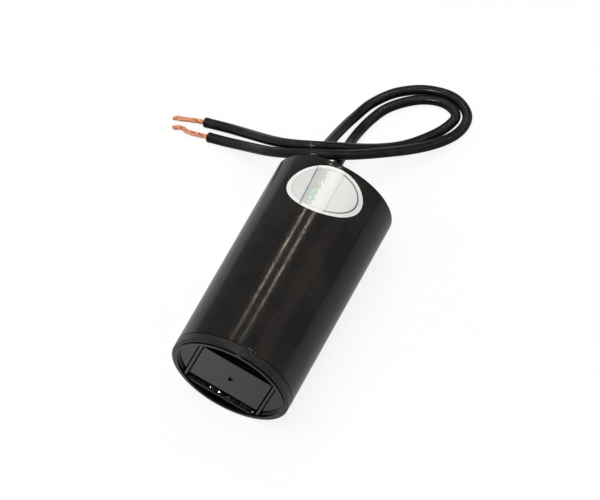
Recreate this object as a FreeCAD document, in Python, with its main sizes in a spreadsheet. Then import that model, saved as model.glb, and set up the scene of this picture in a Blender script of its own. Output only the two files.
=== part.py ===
import FreeCAD, Part
import Sketcher
import math
import os

# Motor run capacitor, round plastic case with two flying leads, millimetres.
# The case lies on its side with its axis along Y: base lid toward -Y, leads toward +Y.
# Stations are distances along the axis from the lip of the base lid.

doc = FreeCAD.newDocument("run_capacitor")
sizes = doc.addObject("Spreadsheet::Sheet", "sizes")

# ---- driving sizes: name, value, what it is
driving = [
    ("case_diameter", 40.0, "outside of the moulded case"),
    ("case_wall", 1.5, "side wall of the case"),
    ("case_length", 71.0, "case from its mouth to its closed end"),
    ("case_end_wall", 2.0, "closed end of the case"),
    ("case_end_radius", 0.9, "rounded rim of the closed end"),
    ("case_mouth_radius", 0.25, "broken edge of the mouth"),
    ("flange_step", 0.05, "case surface down to the side of the lid flange"),
    ("flange_height", 3.3, "lid that shows beyond the mouth"),
    ("flange_radius", 0.5, "rounded outer edge of the flange"),
    ("parting_width", 0.2, "groove between flange and case mouth"),
    ("parting_depth", 0.4, "depth of that groove"),
    ("lip_step", 0.4, "inner lip of the lid above its shoulder"),
    ("lip_width", 0.95, "inner lip of the lid, across"),
    ("spigot_length", 5.0, "lid that goes into the case"),
    ("spigot_wall", 0.7, "wall of the lid spigot"),
    ("spigot_gap", 0.05, "spigot to case, each side"),
    ("floor_depth", 1.25, "lip down to the side floors of the lid"),
    ("floor_thickness", 1.75, "plate of the lid"),
    ("panel_depth", 0.9, "lip down to the middle panel"),
    ("window_share", 0.4028, "upper window, as a share of the inner radius of the lid"),
    ("low_share", 0.4535, "lower window, as a share of the same radius"),
    ("side_share", 0.262, "side floor beyond each rib, as a share of the same radius"),
    ("rib_width", 0.8, "each rib of the lid, along its top"),
    ("rib_slope", 0.25, "sloped side of a rib, seen from the front"),
    ("groove_width", 0.25, "groove along the foot of a rib"),
    ("groove_depth", 0.35, "depth of that groove below the side floors"),
    ("cove", 0.25, "sloped corner between a side floor and the ring"),
    ("bar_width", 0.5, "cross bar of the lower window"),
    ("bar_offset", 3.45, "window between panel and bar"),
    ("mark_left", 0.8, "moulded triangle: left corner, across"),
    ("mark_top", 1.4, "left corner, above the middle of the panel"),
    ("mark_low", 0.3, "tip, across"),
    ("mark_tip", 1.9, "tip, below the middle of the panel"),
    ("mark_right", 1.15, "right corner, across"),
    ("mark_shoulder", 0.5, "right corner, above the middle of the panel"),
    ("mark_depth", 1.2, "depth of the triangle"),
    ("lid_turn", 15.5, "turn of the lid in the case, degrees"),
    ("resin_cover", 0.8, "air between lid plate and resin"),
    ("pack_start", 1.2, "spigot end to the first metal end layer"),
    ("spray_thickness", 0.8, "sprayed metal end layer"),
    ("lead_room", 7.2, "second metal end layer to the closed end, inside"),
    ("pack_gap", 1.1, "closing turns to the case, each side"),
    ("wrap_thickness", 0.4, "closing turns round the winding"),
    ("core_diameter", 8.0, "winding core, outside"),
    ("core_wall", 1.0, "winding core wall"),
    ("sleeve_gap", 0.5, "sleeve to the bore of the core, each side"),
    ("sleeve_wall", 0.5, "wall of the sleeve"),
    ("strap_side", 0.5, "return strap to the bore of the sleeve, each side"),
    ("strap_thickness", 0.5, "return strap"),
    ("strap_margin", 0.8, "washer beyond the folded strap"),
    ("washer_thickness", 0.5, "insulating washer under the folded strap"),
    ("washer_gap", 0.5, "washer to the joint beside it"),
    ("lead_diameter", 3.3, "lead insulation, outside"),
    ("conductor_diameter", 1.6, "stranded conductor"),
    ("insulation_gap", 0.1, "conductor to insulation, each side"),
    ("lead_hole_gap", 0.15, "lead to its hole, each side"),
    ("lead_pitch", 6.3, "between the two leads"),
    ("lead_offset", 4.2, "inner lead off the axis"),
    ("lead_entry", 3.0, "insulation inside the closed end"),
    ("solder_diameter", 4.4, "solder joint at its foot"),
    ("solder_height", 1.8, "solder joint"),
    ("label_length", 24.2, "oval foil label, across the case"),
    ("label_width", 16.9, "oval foil label, along the case"),
    ("label_thickness", 0.1, "foil label"),
    ("label_from_end", 10.5, "closed end to the middle of the label"),
    ("label_angle", 4.7, "label round the case from the top, degrees"),
    ("label_turn", 8.6, "label turned on the case, degrees"),
]

# ---- sizes that follow from them
derived = [
    ("case_outer_r", "=case_diameter / 2"),
    ("case_inner_r", "=case_outer_r - case_wall"),
    ("case_mouth", "=flange_height"),
    ("case_floor", "=case_mouth + case_length - case_end_wall"),
    ("case_end", "=case_mouth + case_length"),
    ("middle", "=case_end / 2"),
    ("flange_r", "=case_outer_r - flange_step"),
    ("spigot_r", "=case_inner_r - spigot_gap"),
    ("lid_inner_r", "=spigot_r - spigot_wall"),
    ("lip_r", "=lid_inner_r + lip_width"),
    ("spigot_end", "=case_mouth + spigot_length"),
    ("floor_back", "=floor_depth + floor_thickness"),
    ("panel_plate", "=floor_back - panel_depth"),
    ("rib_depth", "=lip_step"),
    ("rib_plate", "=floor_back - rib_depth"),
    ("rib_outer", "=lid_inner_r * (1 - side_share)"),
    ("rib_inner", "=rib_outer - rib_width"),
    ("rib_foot_in", "=rib_inner - rib_slope"),
    ("rib_foot_out", "=rib_outer + rib_slope"),
    ("rib_end", "=sqrt(lid_inner_r ^ 2 - rib_foot_in ^ 2) + 0.15"),
    ("groove_in", "=rib_foot_in - groove_width"),
    ("groove_out", "=rib_foot_out + groove_width"),
    ("groove_bottom", "=floor_depth + groove_depth"),
    ("cove_r", "=lid_inner_r - cove"),
    ("cove_top", "=floor_depth - cove"),
    ("parting_near", "=case_mouth - parting_width"),
    ("parting_r", "=flange_r - parting_depth"),
    ("panel_half", "=lid_inner_r * (1 - window_share)"),
    ("panel_low", "=lid_inner_r * (1 - low_share)"),
    ("bar_near", "=panel_low + bar_offset"),
    ("bar_far", "=bar_near + bar_width"),
    ("window_end", "=lid_inner_r + lip_width / 2"),
    ("resin_top", "=floor_back + resin_cover"),
    ("pack_near", "=spigot_end + pack_start"),
    ("film_near", "=pack_near + spray_thickness"),
    ("pack_far", "=case_floor - lead_room"),
    ("film_far", "=pack_far - spray_thickness"),
    ("wrap_r", "=case_inner_r - pack_gap"),
    ("winding_r", "=wrap_r - wrap_thickness"),
    ("core_r", "=core_diameter / 2"),
    ("core_bore_r", "=core_r - core_wall"),
    ("sleeve_r", "=core_bore_r - sleeve_gap"),
    ("sleeve_bore_r", "=sleeve_r - sleeve_wall"),
    ("strap_width", "=2 * (sleeve_bore_r - strap_side)"),
    ("washer_far", "=pack_far + washer_thickness"),
    ("strap_near", "=pack_near - strap_thickness"),
    ("strap_far", "=washer_far + strap_thickness"),
    ("strap_half", "=strap_thickness / 2"),
    ("lead_r", "=lead_diameter / 2"),
    ("conductor_r", "=conductor_diameter / 2"),
    ("insulation_bore_r", "=conductor_r + insulation_gap"),
    ("lead_hole_r", "=lead_r + lead_hole_gap"),
    ("lead_b_off", "=lead_offset"),
    ("lead_a_off", "=lead_offset + lead_pitch"),
    ("insulation_start", "=case_floor - lead_entry"),
    ("solder_r", "=solder_diameter / 2"),
    ("washer_r", "=lead_a_off - solder_r - washer_gap"),
    ("strap_reach", "=washer_r - strap_margin"),
    ("label_half_length", "=label_length / 2"),
    ("label_half_width", "=label_width / 2"),
    ("label_r", "=case_outer_r + label_thickness"),
    ("label_station", "=case_end - label_from_end"),
]

row = 1
for name, size, note in driving:
    sizes.set("A%d" % row, name)
    sizes.set("B%d" % row, "%g" % size)
    sizes.set("C%d" % row, note)
    sizes.setAlias("B%d" % row, name)
    row += 1
for name, formula in derived:
    sizes.set("A%d" % row, name)
    sizes.set("B%d" % row, formula)
    sizes.setAlias("B%d" % row, name)
    row += 1
doc.recompute()


def size(name):
    """The number that a named size has now."""
    return float(getattr(sizes, name))


# the frame every coaxial piece is drawn in: origin on the lid lip, axis height above the table
axisFrame = "placement(vector(0; -sizes.middle; sizes.case_outer_r); rotation(vector(0; 1; 0); %s))"


def newBody(label, turn="0"):
    """A body on the case axis, turned about it."""
    body = doc.addObject("PartDesign::Body", label)
    body.Label = label
    body.setExpression("Placement", axisFrame % turn)
    return body


def plane(body, which):
    for item in body.Origin.OriginFeatures:
        if item.Role == which:
            return item


def dimension(sketch, kind, index, point, name, sign=1):
    """Tie one coordinate of a sketch point to a named size, or to the axis when it is none."""
    if name is None:
        axis = -2 if kind == "DistanceX" else -1
        sketch.addConstraint(Sketcher.Constraint("PointOnObject", index, point, axis))
        return
    number = sketch.addConstraint(
        Sketcher.Constraint(kind, -1, 1, index, point, sign * size(name)))
    sketch.setExpression("Constraints[%d]" % number, ("-" if sign < 0 else "") + "sizes." + name)


def at(entry):
    """A signed coordinate from a name, '-name' or None."""
    if entry is None:
        return None, 1, 0.0
    if entry.startswith("-"):
        return entry[1:], -1, -size(entry[1:])
    return entry, 1, size(entry)


def polygon(sketch, corners):
    """Closed outline through corners, each a pair of size names."""
    spots = [(at(u), at(v)) for u, v in corners]
    first = sketch.GeometryCount
    count = len(spots)
    for i in range(count):
        a = spots[i]
        b = spots[(i + 1) % count]
        sketch.addGeometry(Part.LineSegment(
            FreeCAD.Vector(a[0][2], a[1][2], 0), FreeCAD.Vector(b[0][2], b[1][2], 0)), False)
    for i in range(count):
        sketch.addConstraint(Sketcher.Constraint(
            "Coincident", first + i, 2, first + (i + 1) % count, 1))
    for i, (u, v) in enumerate(spots):
        dimension(sketch, "DistanceX", first + i, 1, u[0], u[1])
        dimension(sketch, "DistanceY", first + i, 1, v[0], v[1])


def circle(sketch, u, v, radius):
    """Circle of a named radius about a named centre."""
    cu, cv = at(u), at(v)
    number = sketch.addGeometry(
        Part.Circle(FreeCAD.Vector(cu[2], cv[2], 0), FreeCAD.Vector(0, 0, 1), size(radius)), False)
    tie = sketch.addConstraint(Sketcher.Constraint("Radius", number, size(radius)))
    sketch.setExpression("Constraints[%d]" % tie, "sizes." + radius)
    if u is None and v is None:
        sketch.addConstraint(Sketcher.Constraint("Coincident", number, 3, -1, 1))
        return
    dimension(sketch, "DistanceX", number, 3, cu[0], cu[1])
    dimension(sketch, "DistanceY", number, 3, cv[0], cv[1])


def axialSketch(body, name):
    """Sketch with x as the radius and y as the station."""
    sketch = body.newObject("Sketcher::SketchObject", name)
    sketch.AttachmentSupport = (plane(body, "XY_Plane"), [""])
    sketch.MapMode = "FlatFace"
    return sketch


def crossSketch(body, name, station=None):
    """Sketch across the axis at a station; x across, y up, pads grow toward the lid."""
    sketch = body.newObject("Sketcher::SketchObject", name)
    sketch.AttachmentSupport = (plane(body, "XZ_Plane"), [""])
    sketch.MapMode = "FlatFace"
    if station:
        sketch.setExpression("AttachmentOffset.Base.z", "-sizes." + station)
    return sketch


def revolve(body, name, sketch):
    turned = body.newObject("PartDesign::Revolution", name)
    turned.Profile = sketch
    turned.ReferenceAxis = (sketch, ["V_Axis"])
    turned.Angle = 360
    return turned


def pad(body, name, sketch, length):
    raised = body.newObject("PartDesign::Pad", name)
    raised.Profile = sketch
    raised.setExpression("Length", length)
    return raised


def pocket(body, name, sketch, length=None):
    cut = body.newObject("PartDesign::Pocket", name)
    cut.Profile = sketch
    if length:
        cut.setExpression("Length", length)
    else:
        cut.Type = "ThroughAll"
        cut.Midplane = True
    return cut


def ringEdges(feature, radius, station):
    """Names of the round edges of a radius at a station."""
    found = []
    for i, edge in enumerate(feature.Shape.Edges):
        curve = edge.Curve
        if not isinstance(curve, Part.Circle):
            continue
        if abs(curve.Radius - radius) < 1e-4 and abs(curve.Center.y - station) < 1e-4:
            found.append("Edge%d" % (i + 1))
    return found


def roundOff(body, name, feature, edges, radius):
    soft = body.newObject("PartDesign::Fillet", name)
    soft.Base = (feature, edges)
    soft.setExpression("Radius", "sizes." + radius)
    return soft


# ---- case: one moulded cup, closed at the lead end
case = newBody("case")
caseProfile = axialSketch(case, "case_profile")
polygon(caseProfile, [
    ("case_inner_r", "case_mouth"),
    ("case_outer_r", "case_mouth"),
    ("case_outer_r", "case_end"),
    (None, "case_end"),
    (None, "case_floor"),
    ("case_inner_r", "case_floor"),
])
caseShell = revolve(case, "case_shell", caseProfile)
caseHoles = crossSketch(case, "case_lead_holes_plan")
circle(caseHoles, "-lead_a_off", None, "lead_hole_r")
circle(caseHoles, "-lead_b_off", None, "lead_hole_r")
casePierced = pocket(case, "case_lead_holes", caseHoles)
doc.recompute()
caseRim = roundOff(case, "case_rim", casePierced,
                   ringEdges(casePierced, size("case_outer_r"), size("case_end")),
                   "case_end_radius")
doc.recompute()
caseMouth = roundOff(case, "case_mouth_edge", caseRim,
                     ringEdges(caseRim, size("case_outer_r"), size("case_mouth")),
                     "case_mouth_radius")

# ---- base lid: plate with two windows, ribs and bar inside a flanged ring
lid = newBody("base_lid", "sizes.lid_turn")
lidFloorPlan = crossSketch(lid, "lid_floor_plan", "floor_back")
circle(lidFloorPlan, None, None, "window_end")
lidFloor = pad(lid, "lid_floor", lidFloorPlan, "sizes.floor_thickness")
lidCoveProfile = axialSketch(lid, "lid_cove_profile")
polygon(lidCoveProfile, [
    ("cove_r", "floor_depth"),
    ("lid_inner_r", "cove_top"),
    ("window_end", "cove_top"),
    ("window_end", "floor_depth"),
])
lidCove = revolve(lid, "lid_cove", lidCoveProfile)
lidWindowPlan = crossSketch(lid, "lid_window_plan", "floor_depth")
polygon(lidWindowPlan, [
    ("-rib_foot_in", "panel_half"), ("rib_foot_in", "panel_half"),
    ("rib_foot_in", "window_end"), ("-rib_foot_in", "window_end"),
])
polygon(lidWindowPlan, [
    ("-rib_foot_in", "-window_end"), ("rib_foot_in", "-window_end"),
    ("rib_foot_in", "-panel_low"), ("-rib_foot_in", "-panel_low"),
])
lidWindows = pocket(lid, "lid_windows", lidWindowPlan)
lidPanelPlan = crossSketch(lid, "lid_panel_plan", "floor_back")
polygon(lidPanelPlan, [
    ("-rib_foot_in", "-panel_low"), ("rib_foot_in", "-panel_low"),
    ("rib_foot_in", "panel_half"), ("-rib_foot_in", "panel_half"),
])
lidPanel = pad(lid, "lid_panel", lidPanelPlan, "sizes.panel_plate")
lidGrooveProfile = axialSketch(lid, "lid_groove_profile")
for sign in ("", "-"):
    polygon(lidGrooveProfile, [
        (sign + "groove_in", "rib_depth"), (sign + "groove_in", "panel_depth"),
        (sign + "rib_foot_in", "groove_bottom"), (sign + "rib_foot_out", "groove_bottom"),
        (sign + "groove_out", "floor_depth"), (sign + "groove_out", "rib_depth"),
    ])
lidGrooves = pocket(lid, "lid_grooves", lidGrooveProfile, "2 * sizes.rib_end")
lidGrooves.Midplane = True
lidRibProfile = axialSketch(lid, "lid_rib_profile")
for sign in ("", "-"):
    polygon(lidRibProfile, [
        (sign + "rib_foot_in", "floor_back"),
        (sign + "rib_foot_in", "groove_bottom"),
        (sign + "rib_inner", "rib_depth"),
        (sign + "rib_outer", "rib_depth"),
        (sign + "rib_foot_out", "groove_bottom"),
        (sign + "rib_foot_out", "floor_back"),
    ])
lidRibs = pad(lid, "lid_ribs", lidRibProfile, "2 * sizes.rib_end")
lidRibs.Midplane = True
lidBarPlan = crossSketch(lid, "lid_bar_plan", "floor_back")
polygon(lidBarPlan, [
    ("-rib_inner", "-bar_far"), ("rib_inner", "-bar_far"),
    ("rib_inner", "-bar_near"), ("-rib_inner", "-bar_near"),
])
lidBar = pad(lid, "lid_bar", lidBarPlan, "sizes.rib_plate")
lidRingProfile = axialSketch(lid, "lid_ring_profile")
polygon(lidRingProfile, [
    ("lid_inner_r", None),
    ("lip_r", None),
    ("lip_r", "lip_step"),
    ("flange_r", "lip_step"),
    ("flange_r", "parting_near"),
    ("parting_r", "parting_near"),
    ("parting_r", "case_mouth"),
    ("spigot_r", "case_mouth"),
    ("spigot_r", "spigot_end"),
    ("lid_inner_r", "spigot_end"),
])
lidRing = revolve(lid, "lid_ring", lidRingProfile)
lidMarkPlan = crossSketch(lid, "lid_mark_plan", "panel_depth")
polygon(lidMarkPlan, [
    ("-mark_left", "mark_top"), ("-mark_low", "-mark_tip"), ("mark_right", "mark_shoulder")])
lidMark = pocket(lid, "lid_mark", lidMarkPlan, "sizes.mark_depth")
doc.recompute()
lidEdge = roundOff(lid, "lid_edge", lidMark,
                   ringEdges(lidMark, size("flange_r"), size("lip_step")),
                   "flange_radius")


def turnedPiece(label, corners):
    """A piece turned about the case axis from one outline."""
    body = newBody(label)
    profile = axialSketch(body, label + "_profile")
    polygon(profile, corners)
    revolve(body, label + "_turned", profile)
    return body


def tubePiece(label, inner, outer, near, far):
    return turnedPiece(label, [(inner, near), (outer, near), (outer, far), (inner, far)])


# ---- capacitor element and what holds it
winding = tubePiece("film_winding", "core_r", "winding_r", "film_near", "film_far")
wrap = tubePiece("outer_wrap", "winding_r", "wrap_r", "film_near", "film_far")
core = tubePiece("winding_core", "core_bore_r", "core_r", "pack_near", "pack_far")
sprayNear = tubePiece("metal_end_lid_side", "core_r", "winding_r", "pack_near", "film_near")
sprayFar = tubePiece("metal_end_lead_side", "core_r", "winding_r", "film_far", "pack_far")
sleeve = tubePiece("strap_sleeve", "sleeve_bore_r", "sleeve_r", "pack_near", "washer_far")
washer = tubePiece("insulating_washer", "sleeve_r", "washer_r", "pack_far", "washer_far")

# ---- return strap: one folded strip from the lid side end layer back to the lead side
strap = newBody("return_strap")
strapProfile = axialSketch(strap, "strap_outline")
polygon(strapProfile, [
    ("-strap_reach", "strap_near"),
    ("strap_half", "strap_near"),
    ("strap_half", "strap_far"),
    ("-strap_reach", "strap_far"),
    ("-strap_reach", "washer_far"),
    ("-strap_half", "washer_far"),
    ("-strap_half", "pack_near"),
    ("-strap_reach", "pack_near"),
])
strapStrip = pad(strap, "strap_strip", strapProfile, "sizes.strap_width")
strapStrip.Midplane = True


def solderPiece(label, offset, foot, direction):
    """A domed joint standing on a face at a station."""
    dome = doc.addObject("Part::Cone", label + "_dome")
    dome.setExpression("Radius1", "sizes.solder_r")
    dome.setExpression("Radius2", "sizes.solder_r * 0.45")
    dome.setExpression("Height", "sizes.solder_height")
    dome.setExpression("Placement", (
        "placement(vector(-sizes.%s; -sizes.middle + sizes.%s; sizes.case_outer_r); "
        "rotation(vector(1; 0; 0); %d))") % (offset, foot, direction))
    return dome


def conductorBore(label, offset):
    """The conductor's own space inside a joint."""
    bore = doc.addObject("Part::Cylinder", label + "_bore")
    bore.setExpression("Radius", "sizes.conductor_r")
    bore.setExpression("Height", "sizes.case_length")
    bore.setExpression("Placement", (
        "placement(vector(-sizes.%s; -sizes.middle + sizes.pack_far; sizes.case_outer_r); "
        "rotation(vector(1; 0; 0); -90))") % offset)
    return bore


solders = []
for label, offset, foot in (("solder_lead_a", "lead_a_off", "pack_far"),
                            ("solder_lead_b", "lead_b_off", "strap_far")):
    joint = doc.addObject("Part::Cut", label)
    joint.Label = label
    joint.Base = solderPiece(label, offset, foot, -90)
    joint.Tool = conductorBore(label, offset)
    solders.append(joint)
solderLid = solderPiece("solder_strap", "lead_b_off", "strap_near", 90)
solderLid.Label = "solder_strap"

# ---- leads: the route leaves the closed end, drops to the table, loops and comes back over itself
# across, beyond the closed end, height; the first point is the hole
routeA = [
    (-11.7, 14.1, 17.0), (-12.1, 23.1, 11.4), (-12.0, 32.5, 6.2), (-11.2, 39.7, 2.7),
    (-9.8, 45.5, 1.7), (-5.5, 52.0, 1.7), (-1.4, 55.5, 1.7), (4.3, 58.9, 1.7),
    (12.9, 60.5, 1.7), (18.6, 58.0, 1.7), (21.4, 54.4, 1.7), (21.0, 48.5, 1.7),
    (17.5, 41.1, 3.8), (11.8, 32.9, 7.8), (5.7, 24.9, 13.2), (-0.1, 17.7, 18.2),
    (-6.1, 12.1, 21.8), (-12.5, 8.6, 22.9), (-19.1, 7.0, 20.9), (-26.5, 7.6, 15.8),
    (-33.1, 9.6, 10.2), (-39.3, 11.3, 5.4), (-45.0, 11.9, 2.5), (-52.9, 11.2, 1.7),
]
routeB = [
    (-5.2, 12.8, 16.6), (-6.6, 19.9, 11.2), (-7.8, 27.2, 6.2), (-7.9, 34.6, 2.8),
    (-6.6, 41.3, 1.7), (-3.9, 47.4, 1.7), (2.5, 53.6, 1.7), (8.3, 56.4, 1.7),
    (13.7, 56.7, 1.7), (17.9, 54.0, 1.7), (16.5, 48.7, 1.7), (13.8, 44.0, 1.8),
    (9.0, 36.5, 3.6), (4.6, 30.1, 7.5), (-0.8, 22.9, 13.6), (-6.9, 16.5, 19.6),
    (-13.8, 12.2, 21.7), (-21.1, 10.7, 19.7), (-27.6, 11.5, 15.8), (-34.6, 13.8, 10.4),
    (-41.0, 15.6, 6.0), (-47.0, 16.6, 3.0), (-56.2, 15.7, 1.7),
]
# bare ends: the insulation stops where the last covered corner starts to bend
bareA = [(-57.9, 10.3, 1.5), (-60.5, 11.6, 1.3), (-63.2, 9.8, 1.0)]
bareB = [(-60.9, 14.4, 1.3), (-64.8, 13.4, 1.0)]
straightOut = 6.05


def roundedPath(points):
    """Straight runs joined by tangent arcs; each arc as large as its two runs allow."""
    edges = []
    radii = []
    start = points[0]
    for before, corner, after in zip(points, points[1:], points[2:]):
        inward = (corner - before)
        onward = (after - corner)
        shorter = min(inward.Length, onward.Length)
        inward.normalize()
        onward.normalize()
        half = inward.getAngle(onward) / 2
        reach = 0.45 * shorter
        radius = reach / math.tan(half)
        radii.append(radius)
        begin = corner - inward * reach
        finish = corner + onward * reach
        bisector = (onward - inward)
        bisector.normalize()
        crown = corner + bisector * (radius / math.cos(half) - radius)
        edges.append(Part.LineSegment(start, begin).toShape())
        edges.append(Part.Arc(begin, crown, finish).toShape())
        start = finish
    edges.append(Part.LineSegment(start, points[-1]).toShape())
    return edges, radii


def along(offset, points):
    """Route points in the part's frame, from the hole outward."""
    hole = FreeCAD.Vector(-size(offset), size("case_end") - size("middle"), size("case_outer_r"))
    out = [hole, hole + FreeCAD.Vector(0, straightOut, 0)]
    out += [FreeCAD.Vector(x, hole.y + beyond, z) for x, beyond, z in points]
    return out


def tube(start, edges, outer, inner=None):
    """A round section carried along a path that starts toward +Y."""
    path = Part.Wire(edges)
    toward = FreeCAD.Vector(0, 1, 0)
    section = Part.Face(Part.Wire(Part.Circle(start, toward, outer).toShape()))
    if inner:
        bore = Part.Face(Part.Wire(Part.Circle(start, toward, inner).toShape()))
        section = section.cut(bore).Faces[0]
    solid = path.makePipe(section)
    if solid.ShapeType != "Solid":
        solid = solid.Solids[0]
    return solid, path.Length


def leadPieces(name, offset, foot, points, bare):
    """Insulation and conductor of one lead, from inside the closed end to the bare tip."""
    full = along(offset, points + bare)
    hole = full[0]
    edges, radii = roundedPath(full)
    # a run and an arc for each corner before the last covered one, and the run up to that one
    covered = edges[:2 * len(points) + 1]
    entry = FreeCAD.Vector(hole.x, size("insulation_start") - size("middle"), hole.z)
    stub = Part.LineSegment(entry, hole).toShape()
    shape, length = tube(entry, [stub] + covered, size("lead_r"), size("insulation_bore_r"))
    section = math.pi * (size("lead_r") ** 2 - size("insulation_bore_r") ** 2)
    print("%s covered length outside %.1f, volume ratio %.4f" % (
        name, length - stub.Length, shape.Volume / (section * length)))
    cover = doc.addObject("Part::Feature", name + "_insulation")
    cover.Label = name + "_insulation"
    cover.Shape = shape
    base = FreeCAD.Vector(hole.x, size(foot) - size("middle"), hole.z)
    deep = Part.LineSegment(base, hole).toShape()
    shape, length = tube(base, [deep] + edges, size("conductor_r"))
    print("%s conductor length outside %.1f, volume ratio %.4f" % (
        name, length - deep.Length, shape.Volume / (math.pi * size("conductor_r") ** 2 * length)))
    wire = doc.addObject("Part::Feature", name + "_conductor")
    wire.Label = name + "_conductor"
    wire.Shape = shape
    print("%s arc radii: %s" % (name, ", ".join("%.1f" % r for r in radii)))
    return cover, wire


coverA, wireA = leadPieces("lead_a", "lead_a_off", "pack_far", routeA, bareA)
coverB, wireB = leadPieces("lead_b", "lead_b_off", "strap_far", routeB, bareB)

# ---- foil label: an oval cut from a thin shell that lies on the case
labelOuter = doc.addObject("Part::Cylinder", "label_outer")
labelInner = doc.addObject("Part::Cylinder", "label_inner")
for drum, radius in ((labelOuter, "label_r"), (labelInner, "case_outer_r")):
    drum.setExpression("Radius", "sizes." + radius)
    drum.setExpression("Height", "sizes.case_length")
    drum.setExpression("Placement", (
        "placement(vector(0; -sizes.middle + sizes.case_mouth; sizes.case_outer_r); "
        "rotation(vector(1; 0; 0); -90))"))
labelShell = doc.addObject("Part::Cut", "label_shell")
labelShell.Base = labelOuter
labelShell.Tool = labelInner
labelOval = doc.addObject("Part::Ellipse", "label_oval")
labelOval.setExpression("MajorRadius", "sizes.label_half_length")
labelOval.setExpression("MinorRadius", "sizes.label_half_width")
labelPrism = doc.addObject("Part::Extrusion", "label_prism")
labelPrism.Base = labelOval
labelPrism.DirMode = "Custom"
labelPrism.Dir = FreeCAD.Vector(0, 0, 1)
labelPrism.setExpression("LengthFwd", "sizes.case_diameter")
labelPrism.Solid = True
labelPrism.setExpression("Placement", (
    "placement(vector(0; -sizes.middle + sizes.label_station; sizes.case_outer_r); "
    "rotation(vector(0; 1; 0); sizes.label_angle) * rotation(vector(0; 0; 1); sizes.label_turn))"))
label = doc.addObject("Part::Common", "foil_label")
label.Label = "foil_label"
label.Base = labelShell
label.Tool = labelPrism

# ---- potting resin: what is left of the case's room
resinBlock = turnedPiece("resin_block", [
    (None, "resin_top"),
    ("lid_inner_r", "resin_top"),
    ("lid_inner_r", "spigot_end"),
    ("case_inner_r", "spigot_end"),
    ("case_inner_r", "case_floor"),
    (None, "case_floor"),
])
packRoom = turnedPiece("pack_room", [
    (None, "pack_near"), ("wrap_r", "pack_near"), ("wrap_r", "pack_far"), (None, "pack_far")])
insulationRooms = []
for side in ("a", "b"):
    room = doc.addObject("Part::Cylinder", "insulation_room_" + side)
    room.setExpression("Radius", "sizes.lead_r")
    room.setExpression("Height", "sizes.case_length")
    room.setExpression("Placement", (
        "placement(vector(-sizes.lead_%s_off; -sizes.middle + sizes.insulation_start; "
        "sizes.case_outer_r); rotation(vector(1; 0; 0); -90))") % side)
    insulationRooms.append(room)
sleeveRoom = turnedPiece("sleeve_room", [
    (None, "pack_near"), ("sleeve_r", "pack_near"),
    ("sleeve_r", "washer_far"), (None, "washer_far")])
fillings = doc.addObject("Part::MultiFuse", "resin_fillings")
fillings.Shapes = [packRoom, sleeveRoom, washer, strap, solderLid] \
    + [joint.Base for joint in solders] + [joint.Tool for joint in solders] + insulationRooms
resin = doc.addObject("Part::Cut", "potting_resin")
resin.Label = "potting_resin"
resin.Base = resinBlock
resin.Tool = fillings
doc.recompute()

pieces = [case, lid, resin, winding, wrap, core, sprayNear, sprayFar, sleeve, washer, strap,
          solders[0], solders[1], solderLid, coverA, wireA, coverB, wireB, label]

for item in doc.Objects:
    for word in ("Invalid", "Error"):
        if word in item.State:
            raise RuntimeError("%s is %s" % (item.Name, word))
os.makedirs("parts", exist_ok=True)
for piece in pieces:
    shape = piece.Shape
    if shape.isNull() or not shape.isValid() or len(shape.Solids) != 1:
        raise RuntimeError("%s is not one sound solid" % piece.Label)
    box = shape.BoundBox
    print("%-22s %9.1f mm3  x %.2f..%.2f  y %.2f..%.2f  z %.2f..%.2f" % (
        piece.Label, shape.Volume, box.XMin, box.XMax, box.YMin, box.YMax, box.ZMin, box.ZMax))
    shape.exportStep("parts/%s.step" % piece.Label)
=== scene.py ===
import bpy
import math
import numpy as np
from functools import partial
from mathutils import Matrix, Vector


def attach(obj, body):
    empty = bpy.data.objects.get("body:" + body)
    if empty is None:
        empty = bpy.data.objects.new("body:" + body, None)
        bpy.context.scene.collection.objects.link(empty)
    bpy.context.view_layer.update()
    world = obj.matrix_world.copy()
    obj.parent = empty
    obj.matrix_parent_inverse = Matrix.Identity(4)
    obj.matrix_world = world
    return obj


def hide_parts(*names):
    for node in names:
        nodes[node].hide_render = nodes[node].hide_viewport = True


# Motor run capacitor on its side: black moulded case, ribbed lid, foil label, flying leads.
# Metres, same frame as the solids: axis along Y at height 0.02, lid toward -Y, leads toward +Y.

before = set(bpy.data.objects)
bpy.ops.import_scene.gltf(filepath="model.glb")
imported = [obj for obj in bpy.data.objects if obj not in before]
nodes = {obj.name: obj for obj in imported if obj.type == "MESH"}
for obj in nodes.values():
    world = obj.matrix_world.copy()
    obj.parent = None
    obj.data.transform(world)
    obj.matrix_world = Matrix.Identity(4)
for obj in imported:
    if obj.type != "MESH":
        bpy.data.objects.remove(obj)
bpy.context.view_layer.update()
mm = 0.001
axisHeight = 20.0  # the case axis above the table, millimetres
fullTurn = 2 * math.pi
print("stage: frame loaded,", len(nodes), "nodes")


# Linear colour of an sRGB hex string: the standard curve, channel by channel.
def shade(text):
    parts = [int(text[i:i + 2], 16) / 255 for i in (1, 3, 5)]
    linear = [p / 12.92 if p < 0.04045 else ((p + 0.055) / 1.055) ** 2.4 for p in parts]
    return (*linear, 1.0)


# A shader node with its settings, and its sockets set or linked. It gives back the output that
# is asked for, or the node itself where output is None.
def addNode(tree, kind, inputs, output=0, **settings):
    node = tree.nodes.new("ShaderNode" + kind)
    for key, value in settings.items():
        setattr(node, key, value)
    for key, value in inputs.items():
        if isinstance(value, bpy.types.NodeSocket):
            tree.links.new(value, node.inputs[key])
        else:
            node.inputs[key].default_value = value
    return node if output is None else node.outputs[output]


# A named material with an empty tree, and addNode bound to that tree.
def startMaterial(name):
    material = bpy.data.materials.new(name)
    material.use_nodes = True
    material.node_tree.nodes.clear()
    return material, partial(addNode, material.node_tree)


# Bounds for a Map Range node: low gives start, high gives end, held between the two.
def fromTo(low, high, start=0.0, end=1.0):
    return {"From Min": low, "From Max": high, "To Min": start, "To Max": end}


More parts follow.
